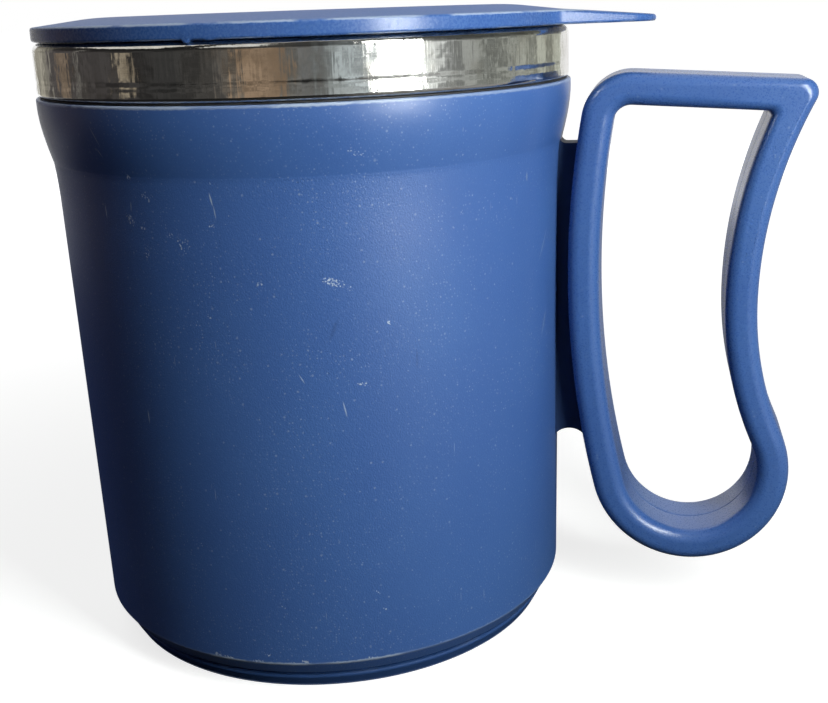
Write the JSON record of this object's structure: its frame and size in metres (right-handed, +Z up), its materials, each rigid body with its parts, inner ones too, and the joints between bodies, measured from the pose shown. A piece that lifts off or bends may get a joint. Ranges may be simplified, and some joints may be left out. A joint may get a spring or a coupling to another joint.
{
  "type": "insulated coffee mug",
  "caption": "Insulated coffee mug: blue plastic shell round a steel cup with a polished rim band, a press-in lid with a thumb tab, and a strip handle with a round lower end.",
  "frame": {"origin": "on the mug's axis, in the plane of the ring it stands on", "axes": "+Z up along the mug's axis, +X from the axis to the handle, +Y across the handle"},
  "size_m": [0.1249, 0.087, 0.1019],
  "materials": {
    "shell_plastic": "satin moulded blue plastic with a fine grain and light scuffs",
    "handle_plastic": "satin moulded blue plastic with a fine grain",
    "lid_plastic": "smooth satin blue plastic",
    "liner_steel": "polished stainless steel with faint rolled lines",
    "seal_rubber": "matt black rubber",
    "insulation_foam": "cream closed-cell foam"
  },
  "bodies": {
    "mug": {"steel_liner": "liner_steel", "rim_gasket": "seal_rubber", "outer_shell": "shell_plastic", "foam_insulation": "insulation_foam", "base_cover": "shell_plastic", "handle_front": "handle_plastic", "handle_rear": "handle_plastic"},
    "seal_ring": {"lid_seal": "seal_rubber"},
    "lid": {"lid_cover": "lid_plastic", "lid_plug": "lid_plastic"}
  },
  "joints": [
    {"name": "lid_lift", "type": "slide", "parent": "mug", "child": "seal_ring", "axis": [0, 0, 1], "range_m": [0, 0.08]},
    {"name": "lid_turn", "type": "hinge", "parent": "seal_ring", "child": "lid", "pos_m": [0, 0, 0.0935], "axis": [0, 0, 1], "continuous": true}
  ]
}
